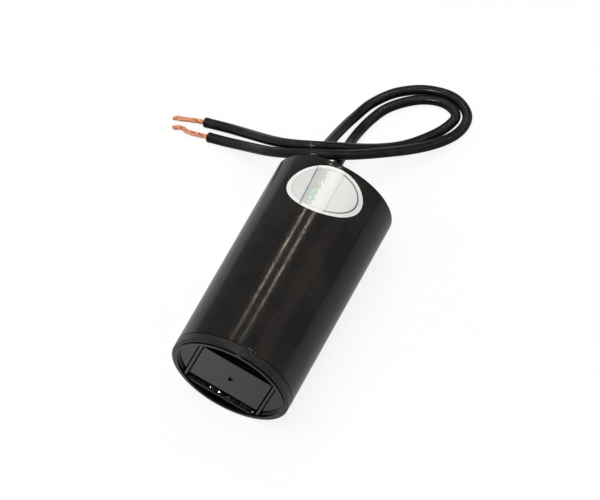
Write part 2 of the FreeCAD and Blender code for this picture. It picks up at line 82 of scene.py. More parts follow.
# Object coordinates in millimetres, stretched per axis, shifted by a seed so patterns differ.
# A noise on them with scale 1 / size has spots about size millimetres across.
def inMillimetres(add, stretch=(1, 1, 1), seed=0.0):
    return add("Mapping", {"Vector": add("TexCoord", {}, "Object"),
                           "Location": (seed, seed * 1.7, seed * 0.6),
                           "Scale": tuple(1000 * s for s in stretch)})


# Tones laid over a colour one after another, each as far as its mask times its share.
def layTones(add, colour, tones):
    for mask, share, tone in tones:
        part = add("Math", {0: mask, 1: share}, operation="MULTIPLY")
        over = shade(tone) if isinstance(tone, str) else tone
        colour = add("Mix", {"Factor": part, 6: colour, 7: over}, 2, data_type="RGBA")
    return colour


# The surface shader with its inputs, and the output of the material.
def finishSurface(add, inputs):
    add("OutputMaterial", {"Surface": add("BsdfPrincipled", inputs)}, None)


# Gives a carried-over node its material.
def dress(node, material):
    data = nodes[node].data
    data.materials.clear()
    data.materials.append(material)


# depths of ripple and waviness and the place of the worn rim in mm; stretches per axis
case = {"colour": "#0c0a09", "mottle": "#1f1b17", "dust": "#6b675f", "gloss": 0.085,
        "specksPerMm": 0.42, "ripple": 0.01, "waviness": 0.012, "wornRim": (36.1, 36.4),
        "drawn": (1, 0.45, 1), "rolling": (1, 0.35, 1)}


# Polypropylene, injection moulded: a glossy black with a fine ripple, so the strip lamps show
# as a pair of slightly broken lines. It has specks of dust about 2.4 mm apart, fine matt flecks
# and a matt edge at the closed end.
def glossyPolypropylene():
    material, add = startMaterial("glossy_black_polypropylene")
    here = inMillimetres(add)
    speck = add("TexVoronoi", {"Vector": here, "Scale": case["specksPerMm"]}, "Distance")
    dust = add("MapRange", {"Value": speck, **fromTo(0.05, 0.035)})
    spots = add("TexNoise", {"Vector": inMillimetres(add, seed=17.0), "Scale": 1 / 0.42,
                             "Detail": 2.0, "Roughness": 0.6})
    flecks = add("MapRange", {"Value": spots, **fromTo(0.47, 0.55)})
    along = add("SeparateXYZ", {0: here}, "Y")
    rim = add("MapRange", {"Value": along, **fromTo(*case["wornRim"])})
    touched = add("TexNoise", {"Vector": inMillimetres(add, seed=3.0), "Scale": 1 / 14,
                               "Detail": 4.0, "Roughness": 0.6})
    handled = add("MapRange", {"Value": touched, **fromTo(0.42, 0.7)})
    colour = layTones(add, shade(case["colour"]), (
        (handled, 1.0, case["mottle"]), (dust, 0.5, case["dust"])))
    streaks = add("TexNoise", {"Vector": inMillimetres(add, case["drawn"], 5.0),
                               "Scale": 1 / 2.2, "Detail": 3.0, "Roughness": 0.6})
    rough = add("MapRange", {"Value": streaks, **fromTo(
        0.3, 0.75, case["gloss"] - 0.015, case["gloss"] + 0.04)})
    for mask, share in ((dust, 0.4), (flecks, 0.16), (rim, 0.4)):
        rough = add("Math", {0: mask, 1: share, 2: rough}, operation="MULTIPLY_ADD")
    wave = add("TexNoise", {"Vector": inMillimetres(add, case["rolling"], 9.0),
                            "Scale": 1 / 7, "Detail": 1.0, "Roughness": 0.4})
    ripple = add("TexNoise", {"Vector": inMillimetres(add, case["drawn"]), "Scale": 1 / 0.5,
                              "Detail": 3.0, "Roughness": 0.6})
    normal = add("Bump", {"Height": wave, "Distance": case["waviness"] * mm})
    normal = add("Bump", {"Height": ripple, "Distance": case["ripple"] * mm, "Normal": normal})
    finishSurface(add, {"Base Color": colour, "Roughness": rough, "Normal": normal, "IOR": 1.49})
    return material


# places of the flange's side and of the lip, and depths of cloud and grain, in mm
lid = {"colour": "#080808", "worn": "#101011", "raised": "#171717", "scuffed": "#33302d",
       "roughness": 0.13, "flangeSide": (19.5, 19.9), "lip": (-36.4, -36.9),
       "cloud": 0.004, "grain": 0.0006}


# The same plastic from a finely eroded mould: satin, with the raised lip painted paler as a
# painted highlight, and rubbed and rougher round the side of the flange.
def satinPolypropylene():
    material, add = startMaterial("satin_black_polypropylene")
    here = inMillimetres(add)
    grain = add("TexNoise", {"Vector": here, "Scale": 1 / 0.22, "Detail": 3.0,
                             "Roughness": 0.65})
    cloud = add("TexNoise", {"Vector": inMillimetres(add, seed=2.0), "Scale": 1 / 6,
                             "Detail": 3.0, "Roughness": 0.55})
    clouded = add("MapRange", {"Value": cloud, **fromTo(0.35, 0.7)})
    height = add("SeparateXYZ", {0: here}, "Y")
    # painted highlight: the raised lip is painted paler
    raised = add("MapRange", {"Value": height, **fromTo(*lid["lip"])})
    level = add("VectorMath", {0: here, 1: (1.0, 0.0, 1.0)}, operation="MULTIPLY")
    radius = add("VectorMath", {0: level, 1: (0.0, 0.0, axisHeight)}, "Value",
                 operation="DISTANCE")
    side = add("MapRange", {"Value": radius, **fromTo(*lid["flangeSide"])})
    rubs = add("TexNoise", {"Vector": inMillimetres(add, (0.25, 2.0, 0.25), 8.0),
                            "Scale": 1 / 0.8, "Detail": 3.0, "Roughness": 0.6})
    scuffs = add("MapRange", {"Value": rubs, **fromTo(0.4, 0.65, 0.1, 0.75)})
    scuffs = add("Math", {0: side, 1: scuffs}, operation="MULTIPLY")
    colour = layTones(add, shade(lid["colour"]), (
        (clouded, 1.0, lid["worn"]), (raised, 0.3, lid["raised"]), (scuffs, 1.0, lid["scuffed"])))
    rough = add("MapRange", {"Value": grain, **fromTo(
        0.3, 0.7, lid["roughness"] - 0.03, lid["roughness"] + 0.04)})
    rough = add("Math", {0: side, 1: 0.2, 2: rough}, operation="MULTIPLY_ADD")
    normal = add("Bump", {"Height": cloud, "Distance": lid["cloud"] * mm})
    normal = add("Bump", {"Height": grain, "Distance": lid["grain"] * mm, "Normal": normal})
    finishSurface(add, {"Base Color": colour, "Roughness": rough, "Normal": normal, "IOR": 1.49})
    return material


# swell, lump and pit are depths in mm; inWindow and onBar say how much of them each piece shows
# pale is the colour painted on the crowns of the lumps, a painted highlight
resin = {"deep": "#0a0807", "pale": "#1a1513", "swell": 0.45, "lump": 0.12, "pit": -0.08,
         "bubblesPerMm": 0.7, "inWindow": 1.0, "onBar": 0.02}


# Polyurethane, poured and cured: black and wet-looking, with swells, lumps and small pits as far
# as relief says. The crept bead has its lumps in its mesh, so hardly any here.
def castResin(name, relief):
    material, add = startMaterial(name)
    here, depth = inMillimetres(add), relief * mm
    swell = add("TexNoise", {"Vector": here, "Scale": 1 / 2.6, "Detail": 2.0, "Roughness": 0.5})
    lumps = add("TexNoise", {"Vector": inMillimetres(add, seed=4.0), "Scale": 1 / 0.8,
                             "Detail": 3.0, "Roughness": 0.6})
    bubble = add("TexVoronoi", {"Vector": here, "Scale": resin["bubblesPerMm"]}, "Distance")
    pits = add("MapRange", {"Value": bubble, **fromTo(0.22, 0.1)})
    # painted highlight: the crowns of the lumps are painted paler
    crownHighlight = add("MapRange", {"Value": lumps, **fromTo(0.4, 0.65)})
    colour = layTones(add, shade(resin["deep"]), ((crownHighlight, 1.0, resin["pale"]),))
    rough = add("MapRange", {"Value": lumps, **fromTo(0.35, 0.7, 0.06, 0.2)})
    normal = add("Bump", {"Height": swell, "Distance": resin["swell"] * depth})
    normal = add("Bump", {"Height": lumps, "Distance": resin["lump"] * depth, "Normal": normal})
    normal = add("Bump", {"Height": pits, "Distance": resin["pit"] * depth, "Normal": normal})
    finishSurface(add, {"Base Color": colour, "Roughness": rough, "Normal": normal, "IOR": 1.52})
    return material


# places and depths in mm, angles in degrees; border and rimEdge are shares of the half axes
label = {"middle": (0.0, 26.65, axisHeight), "angle": 4.7, "turn": 8.6, "half": (12.1, 8.45),
         "border": 0.865, "rimEdge": (0.955, 0.97), "slant": 0.046, "cutLeft": -3.8,
         "cutRight": 4.55, "rightSide": (4.5, 4.6), "flashHighlightEdge": (-1.9, -1.5),
         "dimShadeEdge": (-3.9, -3.7), "rulingScale": 1.1, "crinkle": 0.02, "pressed": -0.02,
         "foil": "#eff2f0", "shade": "#c9cccf", "line": "#4c4e5c", "flashHighlight": "#ebeeed",
         "dimShade": "#a9aba7", "green": "#b9f5cf", "violet": "#c4b0f2", "rim": "#f6f7f7",
         "ruled": "#a9acb4", "leftLine": "#777784", "rightLine": "#8f9193",
         "tints": ((0.3, "#d9d2e6"), (0.4, "#cfe3ee"), (0.47, "#d2efdc"), (0.53, "#eceee2"),
                   (0.6, "#efdfe0"), (0.7, "#dad3ea"))}


# 1 within half a width of the middle, falling to 0 over its soft edges.
def stripe(add, value, middle, halfWidth):
    away = add("Math", {0: value, 1: middle}, operation="SUBTRACT")
    away = add("Math", {0: away}, operation="ABSOLUTE")
    return add("MapRange", {"Value": away, **fromTo(halfWidth * 1.4, halfWidth * 0.6)})


# Polyester foil, metallised and embossed: silver with faint diffraction tints, an oval border
# and two cut lines. From the left cut rightward it is painted greyer as painted shade, under a
# ragged white painted highlight between the cuts with painted green and violet glints at its
# edge; right of the right cut it is painted a touch darker, also as painted shade.
# The ruling is drawn 0.3 mm apart, far coarser than the real one, so that it shows at all.
def holographicFoil():
    material, add = startMaterial("silver_holographic_polyester_foil")
    here = inMillimetres(add)
    turn, angle = math.radians(label["turn"]), math.radians(label["angle"])
    across = Vector((math.cos(turn) * math.cos(angle), math.sin(turn),
                     -math.cos(turn) * math.sin(angle))) / label["half"][0]
    along = Vector((-math.sin(turn) * math.cos(angle), math.cos(turn),
                    math.sin(turn) * math.sin(angle))) / label["half"][1]
    local = add("VectorMath", {0: here, 1: label["middle"]}, operation="SUBTRACT")
    u, v = [add("VectorMath", {0: local, 1: axis}, "Value", operation="DOT_PRODUCT")
            for axis in (across, along)]
    ring = add("VectorMath", {0: add("CombineXYZ", {"X": u, "Y": v})}, "Value",
               operation="LENGTH")
    edge = label["border"]
    rim = add("MapRange", {"Value": ring, **fromTo(*label["rimEdge"])})
    inside = add("MapRange", {"Value": ring, **fromTo(edge + 0.004, edge - 0.004)})
    x, y = [add("SeparateXYZ", {0: here}, axis) for axis in "XY"]
    beyond = add("Math", {0: y, 1: label["middle"][1]}, operation="SUBTRACT")
    slant = add("Math", {0: beyond, 1: label["slant"], 2: x}, operation="MULTIPLY_ADD")
    cutLeft = stripe(add, slant, label["cutLeft"], 0.2)
    cutRight = stripe(add, x, label["cutRight"], 0.07)
    # right of the right cut the foil is painted a touch darker: painted shade
    right = add("MapRange", {"Value": x, **fromTo(*label["rightSide"])})
    left = add("MapRange", {"Value": x, **fromTo(*label["rightSide"], 1.0, 0.0)})
    faded = add("MapRange", {"Value": x, **fromTo(3.6, 5.0, 0.22, 1.0)})
    border = add("Math", {0: stripe(add, ring, edge, 0.018), 1: faded}, operation="MULTIPLY")
    ruling = add("TexWave", {"Vector": here, "Scale": label["rulingScale"], "Distortion": 0.6,
                             "Detail": 1.0}, "Fac", wave_type="BANDS", bands_direction="X")
    patch = add("TexNoise", {"Vector": inMillimetres(add, (1, 0.5, 1), 7.0), "Scale": 1 / 3.2,
                             "Detail": 2.0, "Roughness": 0.5})
    tatters = add("TexNoise", {"Vector": inMillimetres(add, seed=21.0), "Scale": 1 / 1.5,
                               "Detail": 3.0, "Roughness": 0.6})
    ragged = add("Math", {0: tatters, 1: -3.0, 2: x}, operation="MULTIPLY_ADD")
    # painted highlight: a ragged white band between the cuts
    flashHighlight = add("MapRange", {"Value": ragged, **fromTo(*label["flashHighlightEdge"])})
    flashHighlight = add("Math", {0: flashHighlight, 1: left}, operation="MULTIPLY")
    # painted shade: the foil painted greyer, most from the left cut rightward
    dimShade = add("MapRange", {"Value": slant, **fromTo(*label["dimShadeEdge"], 0.4, 1.0)})
    for mask in (inside, left):
        dimShade = add("Math", {0: dimShade, 1: mask}, operation="MULTIPLY")
    # painted glints of green and violet at the edge of the painted highlight
    glints = []  # the green one, then the violet one
    for value, middle, halfWidth, size, seed, low, high in (
            (x, -0.9, 1.0, 1.5, 41.0, 0.55, 0.62), (slant, -3.5, 0.65, 1.3, 33.0, 0.5, 0.58)):
        spots = add("TexNoise", {"Vector": inMillimetres(add, seed=seed), "Scale": 1 / size,
                                 "Detail": 1.0, "Roughness": 0.5})
        spots = add("MapRange", {"Value": spots, **fromTo(low, high)})
        glints.append(add("Math", {0: stripe(add, value, middle, halfWidth), 1: spots},
                          operation="MULTIPLY"))
    tint = add("ValToRGB", {"Fac": patch}, None)
    stops = tint.color_ramp.elements
    for position, _ in label["tints"][1:-1]:
        stops.new(position)
    for stop, (position, tone) in zip(stops, label["tints"]):
        stop.position, stop.color = position, shade(tone)
    colour = layTones(add, shade(label["foil"]), (
        (right, 0.05, label["shade"]), (inside, 0.16, tint.outputs["Color"]),
        (ruling, 0.08, label["ruled"]), (dimShade, 0.62, label["dimShade"]), (flashHighlight, 0.95, label["flashHighlight"]),
        (glints[0], 0.8, label["green"]), (glints[1], 0.7, label["violet"]),
        (cutLeft, 0.9, label["leftLine"]), (cutRight, 0.7, label["rightLine"]),
        (border, 1.0, label["line"]), (rim, 1.0, label["rim"])))
    rough = add("MapRange", {"Value": patch, **fromTo(0.3, 0.7, 0.24, 0.36)})
    crinkle = add("TexNoise", {"Vector": inMillimetres(add, seed=12.0), "Scale": 1 / 1.6,
                               "Detail": 3.0, "Roughness": 0.55})
    lines = border
    for line in (cutLeft, cutRight):
        lines = add("Math", {0: lines, 1: line}, operation="ADD")
    normal = add("Bump", {"Height": crinkle, "Distance": label["crinkle"] * mm})
    normal = add("Bump", {"Height": lines, "Distance": label["pressed"] * mm, "Normal": normal})
    finishSurface(add, {"Base Color": colour, "Roughness": rough, "Normal": normal,
                        "Metallic": 0.1, "IOR": 1.6})
    return material


# radius and the depth of the slow unevenness in mm; clean is painted shade for the lower side
lead = {"radius": 1.65, "uneven": 0.03, "clean": "#030202", "colour": "#121110",
        "dust": "#242220", "gloss": 0.22}


# Plasticised vinyl, extruded over the wire: soft black with dusty patches, painted near black on
# its lower side as painted shade, and shining on its upper side. A slow unevenness, 5 mm long,
# breaks its line of light.
def flexibleVinyl():
    material, add = startMaterial("extruded_black_flexible_vinyl")
    shifted = inMillimetres(add, seed=6.0)
    fine = add("TexNoise", {"Vector": inMillimetres(add), "Scale": 1 / 0.35, "Detail": 3.0,
                            "Roughness": 0.6})
    soft = add("TexNoise", {"Vector": shifted, "Scale": 1 / 4, "Detail": 3.0,
                            "Roughness": 0.55})
    slow = add("TexNoise", {"Vector": shifted, "Scale": 1 / 5, "Detail": 0.0,
                            "Roughness": 0.5})
    dusty = add("MapRange", {"Value": soft, **fromTo(0.4, 0.75)})
    upward = add("SeparateXYZ", {0: add("NewGeometry", {}, "Normal")}, "Z")
    # painted shade: the lower side is painted near black
    shadedBelow = add("MapRange", {"Value": upward, **fromTo(0.1, 0.75, 1.0, 0.0)})
    colour = layTones(add, shade(lead["colour"]), (
        (dusty, 1.0, lead["dust"]), (shadedBelow, 1.0, lead["clean"])))
    rough = add("MapRange", {"Value": fine, **fromTo(
        0.3, 0.7, lead["gloss"] - 0.03, lead["gloss"] + 0.04)})
    sheen = add("MapRange", {"Value": upward, **fromTo(0.3, 0.9, 0.1, 0.52)})
    normal = add("Bump", {"Height": slow, "Distance": lead["uneven"] * mm})
    finishSurface(add, {"Base Color": colour, "Roughness": rough, "Normal": normal,
                        "IOR": 1.54, "Specular IOR Level": sheen})
    return material


# mm: radius of a strand, count and radius of each ring, length of a turn, depth of draw marks
wire = {"strand": 0.15, "rings": ((3, 0.17), (8, 0.42), (14, 0.66)), "lay": 24.0,
        "drawMarks": 0.004, "sides": 8, "steps": 72,
        "colour": "#fbbb98", "dark": "#a85836", "shine": "#f2a577"}


# Soft copper, drawn: pinkish where it is bright, browner where fingers and air have dulled it,
# with draw marks finer than a strand.
def drawnCopper():
    material, add = startMaterial("bare_drawn_copper_strand")
    tarnish = add("TexNoise", {"Vector": inMillimetres(add), "Scale": 1 / 0.7, "Detail": 3.0,
                               "Roughness": 0.6})
    dulled = add("MapRange", {"Value": tarnish, **fromTo(0.46, 0.66)})
    draw = add("TexNoise", {"Vector": inMillimetres(add, seed=3.0), "Scale": 1 / 0.12,
                            "Detail": 2.0, "Roughness": 0.5})
    colour = layTones(add, shade(wire["colour"]), ((dulled, 1.0, wire["dark"]),))
    rough = add("MapRange", {"Value": draw, **fromTo(0.3, 0.7, 0.24, 0.4)})
    normal = add("Bump", {"Height": draw, "Distance": wire["drawMarks"] * mm})
    finishSurface(add, {"Base Color": colour, "Roughness": rough, "Normal": normal,
                        "Metallic": 0.25, "Specular Tint": shade(wire["shine"])})
    return material


# Finishes of the pieces inside the case: material, pale tone, deep tone, grain in mm, roughness,
# stretch of the grain per axis, its depth in mm, metallic.
even, drawnOut = (1, 1, 1), (1, 0.1, 1)
innerFinishes = {
    # wound tape: shiny and buff, with faint lines along the axis
    "outer_wrap": ("clear_wrap_polypropylene_tape", "#cfc8b2", "#b3aa90", 0.9, 0.25, drawnOut,
                   0.01, 0.0),
    # moulded without colouring: a plain, half-matt off-white
    "winding_core": ("natural_moulded_core_plastic", "#c9c8c0", "#aaa99f", 0.6, 0.5, even,
                     0.01, 0.0),
    # zinc sprayed on molten: a rough grey grain
    "metal_end_lid_side": ("flame_sprayed_zinc_end", "#8d9093", "#5c5f63", 0.25, 0.6, even,
                           0.12, 0.9),
    # extruded tube: cream, with lines drawn out along it
    "strap_sleeve": ("extruded_sleeve_plastic", "#d3ccb5", "#b5ad94", 0.5, 0.45, drawnOut,
                     0.01, 0.0),
    # punched from pressboard: brown, matt and finely speckled
    "insulating_washer": ("punched_pressboard_washer", "#6e5136", "#4d3622", 0.3, 0.75, even,
                          0.05, 0.0),
    # rolled and tinned: silver with rolling lines along it
    "return_strap": ("tinned_copper_strip", "#c2c2bd", "#97978f", 0.4, 0.32, (1, 0.08, 1),
                     0.01, 1.0),
    # melted and left to cool: bright silver, slightly grainy
    "solder_strap": ("cooled_tin_solder", "#c3c5c7", "#8f9296", 0.5, 0.3, even, 0.03, 1.0),
}


# A finish in two tones: the deep one follows the grain, and clouds of it nine grains wide.
def twoToned(name, pale, deep, size, rough, stretch, depth, metallic):
    material, add = startMaterial(name)
    grain = add("TexNoise", {"Vector": inMillimetres(add, stretch), "Scale": 1 / size,
                             "Detail": 4.0, "Roughness": 0.6})
    cloud = add("TexNoise", {"Vector": inMillimetres(add, stretch, 5.0),
                             "Scale": 1 / (size * 9), "Detail": 2.0, "Roughness": 0.5})
    grained = add("MapRange", {"Value": grain, **fromTo(0.35, 0.68)})
    clouded = add("MapRange", {"Value": cloud, **fromTo(0.4, 0.9, 0.0, 0.4)})
    colour = layTones(add, shade(pale), ((grained, 1.0, deep), (clouded, 1.0, deep)))
    rough = add("MapRange", {"Value": grain, **fromTo(0.3, 0.7, rough - 0.08, rough + 0.08)})
    normal = add("Bump", {"Height": grain, "Distance": depth * mm})
    finishSurface(add, {"Base Color": colour, "Roughness": rough, "Normal": normal,
                        "Metallic": metallic})
    return material


# turnsAngle is in radians for each millimetre outward, depth in mm
film = {"bright": "#bfc0bd", "dark": "#8d8f90", "stain": "#a8a597", "turnsAngle": 26.0,
        "depth": 0.01}


# Metallised polypropylene, wound: bright and dark turns a quarter of a millimetre apart, far
# coarser than the real film, so that they show at all.
def woundFilm():
    material, add = startMaterial("wound_metallised_polypropylene_film")
    here = inMillimetres(add)
    level = add("VectorMath", {0: here, 1: (1.0, 0.0, 1.0)}, operation="MULTIPLY")
    radius = add("VectorMath", {0: level, 1: (0.0, 0.0, axisHeight)}, "Value",
                 operation="DISTANCE")
    turns = add("Math", {0: radius, 1: film["turnsAngle"]}, operation="MULTIPLY")
    turns = add("Math", {0: turns}, operation="SINE")
    patch = add("TexNoise", {"Vector": here, "Scale": 1 / 5, "Detail": 3.0, "Roughness": 0.6})
    dark = add("MapRange", {"Value": turns, **fromTo(-1.0, 1.0)})
    stained = add("MapRange", {"Value": patch, **fromTo(0.4, 0.8)})
    colour = layTones(add, shade(film["bright"]), (
        (dark, 1.0, film["dark"]), (stained, 0.5, film["stain"])))
    rough = add("MapRange", {"Value": patch, **fromTo(0.3, 0.7, 0.28, 0.42)})
    normal = add("Bump", {"Height": turns, "Distance": film["depth"] * mm})
    finishSurface(add, {"Base Color": colour, "Roughness": rough, "Normal": normal,
                        "Metallic": 0.6})
    return material


vinyl, copper = flexibleVinyl(), drawnCopper()
beadResin = castResin("black_crept_polyurethane_resin", resin["onBar"])
finishes = {node: twoToned(*values) for node, values in innerFinishes.items()}
finishes["metal_end_lead_side"] = finishes["metal_end_lid_side"]
finishes["solder_lead_a"] = finishes["solder_lead_b"] = finishes["solder_strap"]
finishes.update({
    "case": glossyPolypropylene(), "base_lid": satinPolypropylene(),
    "potting_resin": castResin("black_cast_polyurethane_resin", resin["inWindow"]),
    "foil_label": holographicFoil(), "film_winding": woundFilm()})
for node, material in finishes.items():
    dress(node, material)
print("stage: materials made")

# the camera stands where the photograph was taken from
view = {"place": (0.29431, -0.58679, 1.16074), "sight": (0.000329, 0.011484, 0.025360),
        "lens": 255.17, "sensor": 36.0, "clip": (0.05, 20.0)}
camera = bpy.data.objects.new("camera", bpy.data.cameras.new("camera"))
bpy.context.scene.collection.objects.link(camera)
camera.data.sensor_width, camera.data.lens = view["sensor"], view["lens"]
camera.data.clip_start, camera.data.clip_end = view["clip"]
camera.location = view["place"]
sight = Vector(view["sight"]) - camera.location
camera.rotation_euler = sight.to_track_quat("-Z", "Y").to_euler()
bpy.context.scene.camera = camera

# Leads: the points of each route, millimetres: x, beyond the closed end, height. The hole of
# each is at x; covered is the length outside the case, metres; seed draws its strands.
hole = 37.15
routes = {
    "lead_a": {"x": -10.5, "covered": 0.1967, "seed": 11, "points": [
        (-11.7, 14.1, 17.0), (-12.1, 23.1, 11.4), (-12.0, 32.5, 6.2), (-11.2, 39.7, 2.7),
        (-9.8, 45.5, 1.7), (-5.5, 52.0, 1.7), (-1.4, 55.5, 1.7), (4.3, 58.9, 1.7),
        (12.9, 60.5, 1.7), (18.6, 58.0, 1.7), (21.4, 54.4, 1.7), (21.0, 48.5, 1.7),
        (17.5, 41.1, 3.8), (11.8, 32.9, 7.8), (5.7, 24.9, 13.2), (-0.1, 17.7, 18.2),
        (-6.1, 12.1, 21.8), (-12.5, 8.6, 22.9), (-19.1, 7.0, 20.9), (-26.5, 7.6, 15.8),
        (-33.1, 9.6, 10.2), (-39.3, 11.3, 5.4), (-45.0, 11.9, 2.5)],
        "coverEnd": (-50.63, 11.4, 1.93),
        "bare": [(-52.9, 11.2, 1.7), (-57.9, 10.3, 1.5), (-60.5, 11.6, 1.3), (-63.2, 9.8, 1.0)]},
    "lead_b": {"x": -4.2, "covered": 0.1823, "seed": 23, "points": [
        (-5.2, 12.8, 16.6), (-6.6, 19.9, 11.2), (-7.8, 27.2, 6.2), (-7.9, 34.6, 2.8),
        (-6.6, 41.3, 1.7), (-3.9, 47.4, 1.7), (2.5, 53.6, 1.7), (8.3, 56.4, 1.7),
        (13.7, 56.7, 1.7), (17.9, 54.0, 1.7), (16.5, 48.7, 1.7), (13.8, 44.0, 1.8),
        (9.0, 36.5, 3.6), (4.6, 30.1, 7.5), (-0.8, 22.9, 13.6), (-6.9, 16.5, 19.6),
        (-13.8, 12.2, 21.7), (-21.1, 10.7, 19.7), (-27.6, 11.5, 15.8), (-34.6, 13.8, 10.4),
        (-41.0, 15.6, 6.0), (-47.0, 16.6, 3.0)],
        "coverEnd": (-54.03, 15.91, 2.01),
        "bare": [(-56.2, 15.7, 1.7), (-60.9, 14.4, 1.3), (-64.8, 13.4, 1.0)]},
}


# Points of a route in metres, measured from the frame's origin.
def metres(points):
    return [(x * mm, (hole + beyond) * mm, z * mm) for x, beyond, z in points]


# One open spline with the points as control points, and a round bevel where it has a radius.
def cordCurve(name, points, radius=0.0):
    data = bpy.data.curves.new(name, "CURVE")
    data.dimensions = "3D"
    spline = data.splines.new("NURBS")
    spline.points.add(len(points) - 1)
    spline.points.foreach_set("co", [c for p in points for c in (*p, 1.0)])
    spline.order_u = 3
    spline.use_endpoint_u = True
    spline.resolution_u = 12
    if radius:
        data.bevel_depth = radius
        data.bevel_resolution = 10
        data.use_fill_caps = True
    made = bpy.data.objects.new(name, data)
    bpy.context.scene.collection.objects.link(made)
    return made


# Points read from the spline of a route, in order.
def followed(points):
    guide = cordCurve("guide", points)
    guide.data.splines[0].resolution_u = 40
    bpy.context.view_layer.update()
    mesh = bpy.data.meshes.new_from_object(guide)
    spots = np.empty(len(mesh.vertices) * 3)
    mesh.vertices.foreach_get("co", spots)
    bpy.data.meshes.remove(mesh)
    bpy.data.objects.remove(guide)
    return spots.reshape(-1, 3)


# Two unit directions square to the way ahead, the first of them level.
def crossways(ahead):
    side = np.cross(ahead, (0.0, 0.0, 1.0))
    side /= np.linalg.norm(side, axis=-1, keepdims=True)
    return side, np.cross(side, ahead)


# The faces of a grid of points, rows along and columns around, closed around. The ends are
# closed by one face each where they are to be capped.
def gridFaces(grid, capEnds=False):
    rows, columns = grid.shape[:2]
    r, c = np.meshgrid(np.arange(rows - 1), np.arange(columns), indexing="ij")
    d = (c + 1) % columns
    faces = np.stack([r * columns + c, r * columns + d, (r + 1) * columns + d,
                      (r + 1) * columns + c], axis=-1).reshape(-1, 4).tolist()
    if capEnds:
        faces.append(list(range(columns - 1, -1, -1)))
        faces.append(list(range((rows - 1) * columns, rows * columns)))
    return grid.reshape(-1, 3), faces


# One object from several grids, with smooth sides and flat ends.
def meshObject(name, parts, material):
    vertices, faces, start = [], [], 0
    for points, polygons in parts:
        vertices.append(points)
        faces += [[i + start for i in polygon] for polygon in polygons]
        start += len(points)
    data = bpy.data.meshes.new(name)
    data.from_pydata(np.concatenate(vertices).tolist(), [], faces)
    data.polygons.foreach_set("use_smooth", [len(polygon) == 4 for polygon in faces])
    data.update()
    data.materials.append(material)
    made = bpy.data.objects.new(name, data)
    bpy.context.scene.collection.objects.link(made)
    return made


# Rings of round strands twisted about a line: a strand's middle circles the line once per lay,
# its distance wandering as a slow sine and closing in toward the tip, where it stops short or
# flares by its own amount; a circle round that middle gives the strand.
def strands(name, line, seed):
    rng = np.random.default_rng(seed)
    count = wire["steps"]
    reach = np.concatenate([[0], np.cumsum(np.linalg.norm(np.diff(line, axis=0), axis=1))])
    want = np.linspace(0, reach[-1], count)
    spots = np.stack([np.interp(want, reach, line[:, i]) for i in range(3)], axis=1)
    ahead = np.gradient(spots, axis=0)
    ahead /= np.linalg.norm(ahead, axis=1, keepdims=True)
    side, up = crossways(ahead)
    t = np.linspace(0, 1, count)
    gather = 1 - 0.1 * np.clip((t - 0.6) / 0.4, 0, 1) ** 1.5
    around = np.linspace(0, fullTurn, wire["sides"], endpoint=False)
    parts = []
    for ringCount, ringRadius in wire["rings"]:
        for k in range(ringCount):
            last = 1 - rng.uniform(0, 0.03) - (ringRadius / 0.67) ** 2 * rng.uniform(0.0, 0.07)
            rows = max(12, int(count * last))
            turn = fullTurn * (k / ringCount + rng.uniform(-0.02, 0.02)
                               + t[:rows] * reach[-1] / (wire["lay"] * mm))
            out = ringRadius * mm * gather[:rows] * (1 + rng.uniform(-0.05, 0.05))
            out = out + 0.05 * mm * np.sin(t[:rows] * rng.uniform(9, 22) + rng.uniform(0, 6.3))
            nearTip = np.clip((t[:rows] / last - 0.7) / 0.3, 0, 1) ** 2
            out = out + rng.uniform(-0.1, 0.12) * mm * nearTip
            middle = (spots[:rows] + side[:rows] * (out * np.cos(turn))[:, None]
                      + up[:rows] * (out * np.sin(turn))[:, None])
            radius = wire["strand"] * mm * (1 - 0.08 * t[:rows])
            grid = (middle[:, None, :]
                    + side[:rows, None, :] * (radius[:, None] * np.cos(around))[:, :, None]
                    + up[:rows, None, :] * (radius[:, None] * np.sin(around))[:, :, None])
            parts.append(gridFaces(grid[:, ::-1], capEnds=True))
    return meshObject(name, parts, copper)


# The cut rim of a cover, along and outward in mm: a lip that rolls over the end into the bore.
cutProfile = ((-1.6, 1.652), (-0.9, 1.67), (-0.45, 1.7), (-0.15, 1.69), (0.1, 1.6),
              (0.3, 1.42), (0.42, 1.2), (0.44, 1.0), (0.36, 0.88), (0.1, 0.84), (-0.6, 0.84))


# The profile turned about the way ahead, its front pushed along by two sines round the rim, as
# a cutter leaves it.
def cutEnd(name, spot, ahead):
    along, outward = [column[:, None] * mm for column in np.array(cutProfile).T]
    side, up = crossways(ahead)
    around = np.linspace(0, fullTurn, 48, endpoint=False)
    ragged = 0.05 * mm * (np.sin(around * 3 + 1.1) + 0.6 * np.sin(around * 7 + spot[1] * 9000))
    reach = along + ragged[None, :] * np.clip(along / mm + 0.5, 0, 1)
    grid = (spot + ahead * reach[:, :, None]
            + side * (outward * np.cos(around))[:, :, None]
            + up * (outward * np.sin(around))[:, :, None])
    return meshObject(name, [gridFaces(grid[:, ::-1])], vinyl)


for name, route in routes.items():
    start = [(route["x"], -3.0, axisHeight), (route["x"], 6.05, axisHeight)]
    covered = metres(start + route["points"] + [route["coverEnd"]])
    cord = cordCurve(name + "_cord", covered, lead["radius"] * mm)
    cord.data.materials.append(vinyl)
    whole = followed(metres(start + route["points"] + route["bare"]))
    end = np.array(covered[-1])
    nearest = int(np.argmin(np.linalg.norm(whole - end, axis=1)))
    ahead = whole[nearest + 1] - whole[nearest - 1]
    ahead /= np.linalg.norm(ahead)
    tip = strands(name + "_strands", whole[max(0, nearest - 30):], route["seed"])
    rim = cutEnd(name + "_cut_end", end, ahead)
    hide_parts(name + "_insulation")
    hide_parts(name + "_conductor")
    for piece, slot in ((cord, "lead_cover"), (rim, "lead_cover"), (tip, "copper")):
        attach(piece, "root")
print("stage: leads made")

